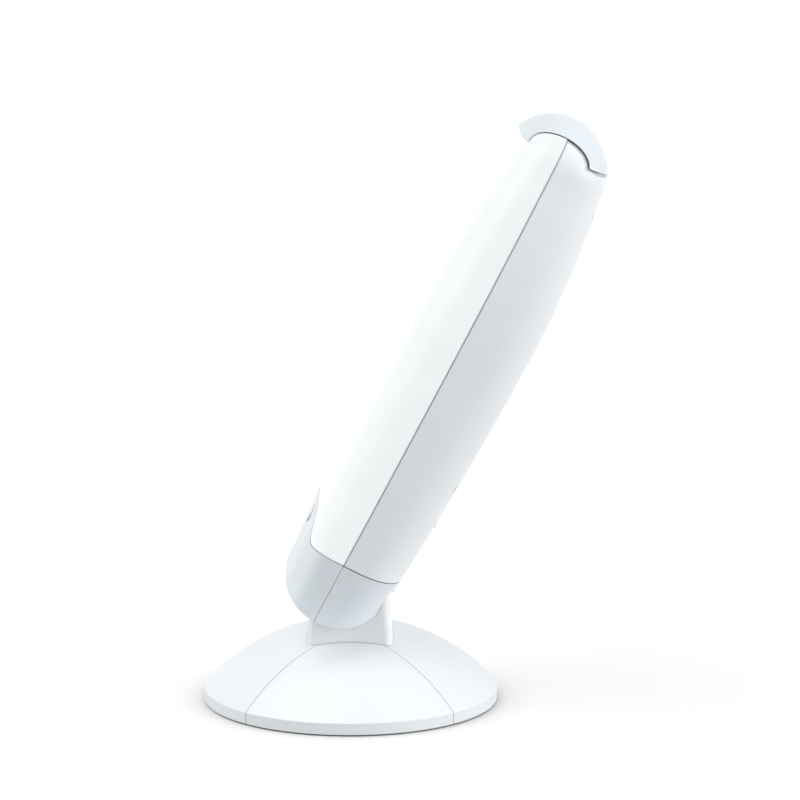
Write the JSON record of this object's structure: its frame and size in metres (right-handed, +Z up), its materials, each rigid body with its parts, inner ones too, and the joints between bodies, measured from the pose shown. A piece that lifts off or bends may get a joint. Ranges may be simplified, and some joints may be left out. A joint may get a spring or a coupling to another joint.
{
  "type": "light therapy lamp",
  "caption": "Light therapy lamp: a long rounded luminous head tilts on a short neck over a round domed foot, with one push button and a vented back.",
  "frame": {"origin": "centre of the foot's standing plane, under the middle of the neck", "axes": "+Z up; the light faces -X and the head leans back towards +X; the tilt hinge runs along Y"},
  "size_m": [0.3127, 0.23, 0.4592],
  "materials": {
    "white_shell": "satin white moulded ABS",
    "opal_diffuser": "satin opal acrylic",
    "grey_shell": "satin light grey moulded ABS",
    "grey_seal": "matt light grey elastomer",
    "button_plastic": "satin",
    "inner_plastic": "matt heat-resistant moulding",
    "black_plastic": "matt",
    "bush_plastic": "waxy acetal",
    "foot_rubber": "matt",
    "cast_weight": "rough black paint",
    "zinc_steel": "zinc plated",
    "bright_steel": "ground",
    "white_sheet": "white powder coat",
    "polished_sheet": "bright anodised",
    "lamp_glass": "phosphor-coated, matt white",
    "ballast_can": "white sheet steel can",
    "pin_brass": "polished"
  },
  "bodies": {
    "root": {"base_bridge": "white_shell", "far_side_cover": "white_shell", "near_side_cover": "white_shell", "base_plate": "inner_plastic", "ballast_weight": "cast_weight", "rubber_foot_ring": "foot_rubber", "base_screws": "zinc_steel", "weight_screws": "zinc_steel", "knuckle_bushes": "bush_plastic"},
    "head": {"back_shell": "white_shell", "front_diffuser": "opal_diffuser", "end_cap_front": "grey_shell", "end_cap_back": "grey_shell", "top_cap": "grey_shell", "seam_seal": "grey_seal", "far_lampholder": "inner_plastic", "near_lampholder": "inner_plastic", "far_tube_base": "inner_plastic", "near_tube_base": "inner_plastic", "switch_body": "inner_plastic", "inlet_socket": "black_plastic", "friction_washers": "bush_plastic", "case_screws": "zinc_steel", "pivot_nuts": "zinc_steel", "disc_springs": "zinc_steel", "tube_clips": "zinc_steel", "hinge_yoke": "zinc_steel", "pivot_pin": "bright_steel", "chassis_plate": "white_sheet", "reflector": "polished_sheet", "far_lamp_tube": "lamp_glass", "near_lamp_tube": "lamp_glass", "ballast_unit": "ballast_can", "inlet_pins": "pin_brass"},
    "power_button": {"power_button": "button_plastic"}
  },
  "joints": [
    {"name": "tilt_hinge", "type": "hinge", "parent": "root", "child": "head", "pos_m": [0, 0, 0.1145], "axis": [0, 1, 0], "range_deg": [-37.5, 2.5]},
    {"name": "power_button_press", "type": "slide", "parent": "head", "child": "power_button", "axis": [0.887, 0, -0.4617], "range_m": [0, 0.002], "stiffness_N_per_m": 400}
  ]
}
